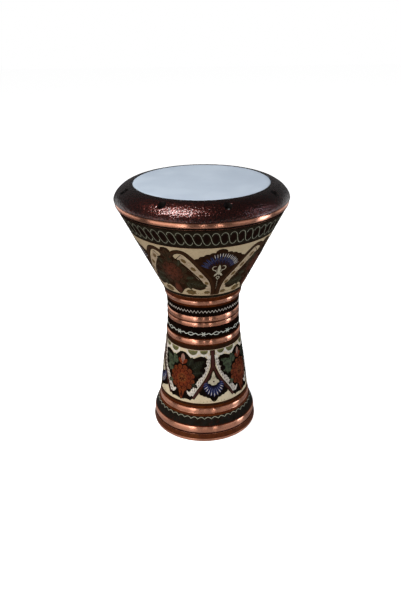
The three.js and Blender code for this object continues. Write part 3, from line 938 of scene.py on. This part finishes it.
def lower_painting():
    """The body: hanging cartouches with a red peony in each, and an inverted fan between them."""
    gap = LOWER_JUNCTION
    frame_at = gap - HALF
    dark, leg, core, ribbon = reliefs(0.26, 0.34, 0.48, 0.36)
    olive, green, teal, vein = reliefs(0.48, 0.46, 0.46, 0.66)
    orange, shade, red, deep, inner, petal_gaps = reliefs(0.46, 0.58, 0.66, 0.76, 0.84, 0.96)
    lobes, dark_vein, pink, blue = reliefs(0.56, 0.62, 0.6, 0.38)
    sky, ivory, white = reliefs(0.5, 0.46, 0.6)

    # the stem and its two legs
    trunk = [(gap, z) for _, z in curve([(0, 162.6), (0, 150), (0, 138), (0, 131)], 4)]
    split = curve([(0.8, 135), (3.4, 126), (8.6, 113), (15.4, 100), (22.4, 87), (28.2, 75.5)], 5)
    for relief, trunk_width, leg_width in ((leg, 8.6, 6.0), (core, 4.6, 2.4)):
        relief.line(trunk, trunk_width)
        relief.pair(gap, split, leg_width)

    # the dark inside of a cartouche: humped top, lobed sides, pointed bottom
    top = [(0, 157.4), (4.5, 156.6), (8.5, 152.6), (12.5, 148.4), (17.5, 147.8), (22.5, 150.6), (28, 152.6)]
    side = [(33.6, 152), (36.2, 147.6), (35.2, 140.5), (32.2, 135.6), (33, 129), (31, 121), (27, 113.6)]
    side += [(23.6, 108.6), (20.2, 101), (16.4, 93.6), (12.4, 87.6), (9.6, 83), (7, 77.6), (3.6, 73)]
    dark.whole(frame_at, [*top, *side, (0, 70.6)])
    foot_lobes = scallops([(18.6, 75.8), (13.4, 71.4), (8.0, 73.4), (3.0, 71.0)], -1.0)
    for turned_to in (1, -1):
        dark.patch([(frame_at + turned_to * a, z) for a, z in (*foot_lobes, (8.0, 86.0), (16.0, 86.0))])

    # white ribbon beside each leg, with a serrated inner edge and a hooked end
    band = curve([(39.6, 154), (38.6, 143), (36, 130), (31.6, 118), (25.8, 105), (19.4, 93), (14.6, 81.6)], 5)
    ribbon.pair(frame_at, band, lambda t: 5.6 + 1.6 * t, dome=0.1)
    hook = curve([(14.6, 81.0), (11.4, 83.6), (8.6, 88.6)], 4)
    ribbon.pair(frame_at, hook, tapered(5.6, 0, 0.6), dome=0.08)
    for flip in (-1, 1):
        for share, reach in ((0.13, 3.0), (0.26, 4.4), (0.38, 4.8), (0.5, 4.0)):
            a, z = along(band, share)
            lobes.stamp(frame_at + flip * (a - 4.6), z + 1.0, disc(reach, count=14), dome=0.05)
        for k in range(13):
            share = 0.12 + 0.068 * k
            a, z = along(band, share)
            if share > 0.5:
                ribbon.stamp(frame_at + flip * (a - 2.4), z + 1.0, disc(1.8, count=10), dome=0.1)
            for across, lean in ((-1.6, 50), (1.0, 35)):
                angle = flip * (lean - 40 * share)
                tick = [(0, -1.9), (0.4, 0), (0, 1.9)]
                petal_gaps.brush(frame_at + flip * (a + across), z, tick, tapered(0.75), angle)

    # half discs hanging from the top edge
    half_round = arc(1.0, 180, 360)
    for offset, radius in ((15.6, 8.4), (32.2, 6.6)):
        for place in (frame_at - offset, frame_at + offset):
            ribbon.stamp(place, 162.6, [(x * (radius + 3), y * (radius + 4.4)) for x, y in half_round])
            olive.stamp(place, 162.4, [(x * radius, y * radius) for x, y in half_round])
            vein.brush(place, 161.6, arc(radius * 0.66, 200, 340), tapered(1.0))
            vein.brush(place, 161.6, arc(radius * 0.36, 200, 340), tapered(0.8))
            for angle in (-50, 0, 50):
                vein.brush(place, 161.2, [(0, -1.2), (0, -radius * 0.8)], 0.5, angle)

    # the flower, with its bud above and its hanging petal
    flower = frame_at + 0.4
    peony((dark, orange, shade, red, deep, inner, petal_gaps), flower, 110.5, 23.5, 12)
    petal_gaps.stamp(flower, 109.0, lobed(4.4, 6, 0.35, squash=0.62))
    for k in range(8):
        inner.stamp(flower, 109.0, shifted(disc(0.7, count=8), *rotated([(0.0, 3.1)], 45 * k)[0]), dome=0.3)
    pink.stamp(flower, 134.0, petal(20.0, 7.6))
    for angle in (-38, 38):
        red.stamp(flower, 134.5, petal(13.0, 6.0), angle)
    petal_gaps.brush(flower, 137.0, [(0, 0), (0.3, 5), (0, 11)], tapered(0.8))
    orange.stamp(flower, 92.0, petal(21.0, 11.0, blunt=0.45), 180)
    for angle in (-9, 0, 9):
        petal_gaps.brush(flower, 88.0, [(0, 0), (0.2, -6), (0, -13)], tapered(0.9), angle)
    for flip, leaf_paint, ribs in ((-1, teal, vein), (1, green, dark_vein)):
        for offset, z, length, width, angle, bites in (
            (15.5, 127.5, 27.0, 17.0, 50, 5),
            (16.0, 121.0, 21.0, 13.5, 82, 4),
            (10.0, 133.0, 18.0, 13.0, 22, 4),
            (14.5, 103.0, 13.0, 9.0, 122, 4),
        ):
            leafy(leaf_paint, ribs, frame_at + flip * offset, z, length, width, -flip * angle, bites)

    # the inverted fan under the fork of the stem
    fan_edge = scallops([(19.6, 86), (15.4, 82.6), (10.6, 80.4), (5.6, 77.6)], 1.1)
    spandrel = [(0, 131), (2.2, 125), (7, 112), (13, 100), (19, 90)]
    dark.whole(gap, [*spandrel, *fan_edge, (4.0, 74), (2.2, 71.2), (0, 70)])
    heart, spread = 107.0, 13.0
    for k in range(-6, 7):
        angle = 180 + k * spread
        reach = 30.0 - 0.14 * abs(k * spread)
        blue.stamp(gap, heart, petal(reach - 9.5, 5.4, 8.5), angle)
        strokes(sky, gap, heart, (12.0, reach - 2.0), (angle,), 1.2)
        if abs(k) < 5:
            strokes(white, gap, heart, (reach - 9.0, reach - 3.0), (angle + 1.5,), 0.8)
    spear = [(0, 125.6), (1.4, 122), (2.6, 116), (4.2, 111), (7.4, 108), (7.8, 104.6), (4.8, 103.6)]
    ivory.whole(gap, [*spear, (3.2, 100.8), (0, 100.2)])
    olive.stamp(gap, 107.2, lobed(3.0, 5, 0.3))
    petal_gaps.stamp(gap, 107.0, disc(1.4, count=10), dome=0.05)
    for angle in (-52, 0, 52):
        vein.brush(gap, 110.0, [(0, 2), (0.2, 5), (0, 9)], tapered(0.5), angle * 0.55)
    for k in range(-3, 4):
        olive.stamp(gap + 4.6 * k, 71.6 - 0.4 * abs(k), disc(0.7, count=8), dome=0.05)

    for relief, name, paint in (
        (dark, "ground", "ink"),
        (leg, "stem_outline", "outline"),
        (core, "stem", "trunk"),
        (ribbon, "ribbon", "white"),
        (olive, "olive_discs", "olive"),
        (green, "green_leaves", "green"),
        (teal, "teal_leaves", "teal"),
        (vein, "veins", "vein"),
        (orange, "outer_petals", "orange"),
        (red, "middle_petals", "red"),
        (inner, "inner_petals", "amber"),
        (shade, "petal_shade", "maroon"),
        (deep, "petal_shade_inner", "maroon"),
        (lobes, "leaf_lobes", "ink"),
        (dark_vein, "dark_veins", "dark_vein"),
        (petal_gaps, "petal_gaps", "maroon"),
        (pink, "bud", "pink"),
        (blue, "fan_blue", "blue"),
        (sky, "fan_sky", "sky"),
        (ivory, "trefoil", "ivory"),
        (white, "fan_white", "white"),
    ):
        relief.piece(f"body_{name}", paint)


# ---- the head and its fastening


def cut(piece, *cutters):
    """Takes the cutters out of a piece and removes them."""
    for cutter in cutters:
        modifier = piece.modifiers.new("cut", "BOOLEAN")
        modifier.operation = "DIFFERENCE"
        modifier.solver = "EXACT"
        modifier.object = cutter
    bpy.context.view_layer.update()
    depsgraph = bpy.context.evaluated_depsgraph_get()
    mesh = bpy.data.meshes.new_from_object(piece.evaluated_get(depsgraph))
    piece.modifiers.clear()
    piece.data = mesh
    for cutter in cutters:
        bpy.data.objects.remove(cutter)


def bolt_place(index):
    """Where a bolt's axis is, read from its CAD node."""
    low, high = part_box(f"tuning_bolt_{index}")
    return (low.x + high.x) / 2, (low.y + high.y) / 2


def hammer_marks(r, z, a):
    """Moves a point of the crown in by a shallow, uneven dimple: bowls with ridges between them."""
    lowest_z, smooth_lip, spacing, bowl_depth, waviness = 407.5, 1.2, 3.4, 0.36, 0.12
    if z < lowest_z or r < OPENING + smooth_lip:
        return r, z
    place = Vector((r * cos(a), r * sin(a), z))
    near, *_ = noise.voronoi(place / spacing)[0]
    bowl = min(1.0, (near / 0.6) ** 2)
    depth = bowl_depth * (1.0 - bowl) + waviness * (noise.noise(place * 0.8) * 0.5 + 0.5)
    return r - depth * 0.6, z - depth * 0.7


def tuning_ring():
    """The crowned ring, hammered all over, with a smooth black lip and eight counterbored holes whose walls
    are painted near-black as painted shade.
    """
    widest_z, skirt_z, web_z, press_z, steps = 407.2, 406.2, 407.0, 418.3, 56
    crown = []
    for i in range(steps + 1):
        t = pi / 2 * i / steps
        r = OPENING + (RIM_RADIUS - OPENING) * cos(t) ** 1.25
        crown.append((r, widest_z + (LIP_Z - 0.5 - widest_z) * sin(t) ** 1.25))
    under = [(OPENING, HEAD_Z - 2.4), (110.2, press_z), (116.2, press_z), (116.2, web_z)]
    under += [(130.4, web_z), (131.2, 411.5), (134.2, 411.0), (134.6, skirt_z)]
    outline = [(137.6, skirt_z), *crown, *under]
    lip_start = next(i for i, (r, _) in enumerate(outline) if i > 2 and r < OPENING + 1.3)

    def finish(i):
        return 1 if lip_start <= i <= len(crown) + 2 else 0

    paints = [HAMMERED, LIP_BLACK, HOLE_SHADE]
    ring = turned("tuning_ring_hammered", outline, paints, "tuning_ring", 720, finish, hammer_marks)
    seat_z, hole, counterbore = 411.4, 3.4, 6.4
    profile = [(0, 400.0), (hole, 400.0), (hole, seat_z), (counterbore, seat_z), (counterbore, 440.0)]
    cutters = []
    for index in range(1, BOLTS + 1):
        # the cutters' faces become the hole walls and keep their near-black painted shade
        cutter = turned(f"cutter_{index}", [*profile, (0, 440.0)], [HOLE_SHADE], "tuning_ring", 40)
        x, y = bolt_place(index)
        cutter.data.transform(Matrix.Translation((x, y, 0.0)))
        cutters.append(cutter)
    cut(ring, *cutters)
    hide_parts("tuning_ring")


def tuning_bolts():
    """Socket-head screws: knurled heads, hexagon sockets and threaded shanks."""
    pitch, shank, head = 1.0, 2.9, 5.0
    low, high = node_z("tuning_bolt_1")
    under_head = high - 6.0

    def thread_and_knurl(r, z, a):
        if abs(r - shank) < 0.01 and z < under_head - 2.0:
            return r - 0.32 * (0.5 + 0.5 * sin(2 * pi * z / pitch - a)), z
        if abs(r - head) < 0.01 and z > under_head:
            return r - 0.12 * (0.5 + 0.5 * sin(24 * a)), z
        return r, z

    rows = round((under_head - low) * 5)
    outline = [(0, low), (shank - 0.5, low)]
    outline += [(shank, low + 0.5 + (under_head - low - 0.5) * i / rows) for i in range(rows + 1)]
    outline += [(head - 0.2, under_head), (head, under_head + 0.25), (head, high - 0.6)]
    outline += [(head - 0.15, high - 0.25), (head - 0.5, high), (0, high)]
    socket_floor, corner = high - 3.4, 2.887  # for a 5 mm key
    hexagon = [(0, socket_floor), (corner, socket_floor), (corner, high + 1), (0, high + 1)]
    for index in range(1, BOLTS + 1):
        node = f"tuning_bolt_{index}"
        name = f"tuning_bolt_{index}_screw"
        bolt = turned(name, outline, [BLACK_STEEL], node, 96, push=thread_and_knurl)
        socket = turned(f"socket_{index}", hexagon, [BLACK_STEEL], node, 6)
        cut(bolt, socket)
        x, y = bolt_place(index)
        bolt.data.transform(Matrix.Translation((x, y, 0.0)) @ Matrix.Rotation(0.7 * index, 4, "Z"))
        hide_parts(node)


def drumhead():
    """The film, with its bend over the bearing edge and its collar down into the hoop."""
    low, high = node_z("drumhead_film")
    inner_bend = curve([(106.8, high - 0.9), (107.05, high - 1.8), (109.4, 418.0)], 4)
    outer_bend = curve([(109.9, 418.0), (107.6, high - 1.6), (107.2, high - 0.5), (106.5, high)], 5)
    outline = [(0, high - 0.5), (106.3, high - 0.5), *inner_bend, (109.4, low), (109.9, low), *outer_bend]
    outline += [(10.0 * i, high) for i in range(10, -1, -1)]
    film = turned("drumhead_coated_film", outline, [FILM], "tuning_ring", 240)
    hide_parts("drumhead_film")


def carried_over():
    """CAD nodes whose shape is right get their finish."""
    finishes = {"neck_sleeve": COPPER_INSIDE, "bearing_ring": ALUMINIUM, "flesh_hoop": ALUMINIUM}
    for index in range(1, BOLTS + 1):
        finishes[f"washer_{index}"] = ZINC_STEEL
        finishes[f"lug_nut_{index}"] = ZINC_STEEL
    for node, finish in finishes.items():
        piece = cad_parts[node]
        piece.data.materials.clear()
        piece.data.materials.append(finish)


# ---- camera, floor and light


def pale_sky(horizon, zenith):
    """An even sky that is white behind the drum. As a light it is dimmer, most of all overhead."""
    world = bpy.data.worlds.new("sky")
    world.use_nodes = True
    tree = world.node_tree
    seen, place, split, light, power = (
        tree.nodes.new(f"ShaderNode{kind}")
        for kind in ("LightPath", "TexCoord", "SeparateXYZ", "MapRange", "MapRange")
    )
    for socket, value in (("From Max", 0.9), ("To Min", horizon), ("To Max", zenith)):
        light.inputs[socket].default_value = value
    power.inputs["To Max"].default_value = 1.0
    background = tree.nodes["Background"]
    background.inputs["Color"].default_value = (1.0, 1.0, 1.0, 1.0)
    for start, end in (
        (place.outputs["Generated"], split.inputs[0]),
        (split.outputs["Z"], light.inputs["Value"]),
        (light.outputs[0], power.inputs["To Min"]),
        (seen.outputs["Is Camera Ray"], power.inputs["Value"]),
        (power.outputs[0], background.inputs["Strength"]),
    ):
        tree.links.new(start, end)
    return world


def pale_floor(near, far, glow):
    """A floor that is white to the camera. As a light it is grey, and darker away from the drum."""
    n = Nodes("floor_white")
    n.set(Base_Color=(0.93, 0.93, 0.93, 1.0), Roughness=0.9, Specular_IOR_Level=0.1)
    n.set(Emission_Color=(1.0, 1.0, 1.0, 1.0), Emission_Strength=glow)
    distance = n.add("ShaderNodeVectorMath", {0: n.place}, operation="LENGTH").outputs["Value"]
    grey = n.add("ShaderNodeBsdfDiffuse", {"Color": n.ramp(distance, [(0.25, near), (0.48, far)])})
    seen = n.add("ShaderNodeLightPath").outputs["Is Camera Ray"]
    both = n.add("ShaderNodeMixShader", {0: seen, 1: grey.outputs[0], 2: n.shader.outputs[0]})
    n.tree.links.new(both.outputs[0], n.tree.nodes["Material Output"].inputs["Surface"])
    return n.material


def studio():
    """A white sweep, an even pale sky, and narrow lamps whose reflections streak the copper."""
    scene = bpy.context.scene
    scene.view_settings.view_transform = "Standard"
    lens = bpy.data.cameras.new("camera")
    lens.lens = 40.4
    lens.shift_x = -0.0043
    lens.clip_end = 50.0
    camera = bpy.data.objects.new("camera", lens)
    scene.collection.objects.link(camera)
    place = Matrix.Translation((0.0, -1.0346, 0.7031))
    tilt = Matrix.Rotation(radians(90.0 - 24.84), 4, "X")
    camera.matrix_world = place @ tilt @ Matrix.Rotation(radians(-0.74), 4, "Z")
    scene.camera = camera

    scene.world = pale_sky(0.22, 0.1)

    bpy.ops.mesh.primitive_plane_add(size=12.0, location=(0.0, 0.0, -0.0003))
    floor = bpy.context.object
    floor.name = "floor"
    floor.data.materials.append(pale_floor(0.42, 0.12, 0.86))

    def lamp(name, azimuth, height, distance, size, power, tint=(1.0, 1.0, 1.0)):
        """A rectangular lamp that faces the drum's middle. Azimuth 0 is the camera's side."""
        data = bpy.data.lights.new(name, "AREA")
        data.shape = "RECTANGLE"
        data.size, data.size_y = size
        data.energy = power
        data.color = tint
        made = bpy.data.objects.new(name, data)
        a = radians(FRONT + azimuth)
        made.location = (distance * cos(a), distance * sin(a), height)
        aim = Vector((0.0, 0.0, min(height, 0.35))) - made.location
        made.rotation_euler = aim.to_track_quat("-Z", "Y").to_euler()
        made.visible_camera = False
        scene.collection.objects.link(made)

    cool = (0.86, 1.0, 1.13)
    lamp("window_right", 79, 0.26, 0.75, (0.17, 0.5), 2.1, cool)
    lamp("fill_right", 50, 0.3, 0.9, (0.42, 0.6), 0.55)
    lamp("window_left", -43, 0.3, 0.76, (0.62, 0.6), 1.9)
    lamp("strip_left", -20, 0.25, 0.62, (0.022, 0.5), 0.2)
    lamp("strip_middle", 1, 0.25, 0.62, (0.02, 0.5), 0.13)
    lamp("strip_right", 20, 0.25, 0.62, (0.022, 0.5), 0.14)
    lamp("glint_left", -26, 0.07, 0.6, (0.09, 0.09), 0.26, cool)
    lamp("glint_right", 21, 0.07, 0.6, (0.035, 0.09), 0.1)
    lamp("glint_ring", 82, 0.86, 0.75, (0.08, 0.1), 0.55, (0.92, 0.82, 1.0))
    lamp("key", -54, 1.88, 0.74, (0.3, 0.3), 26.0)
    lamp("side_left", -112, 0.28, 1.5, (1.7, 0.56), 4.6)
    lamp("side_right", 125, 0.28, 1.5, (1.2, 0.56), 2.4)


studio()
copper_shell()
plain_bands()
borders()
upper_painting()
lower_painting()
tuning_ring()
tuning_bolts()
drumhead()
carried_over()
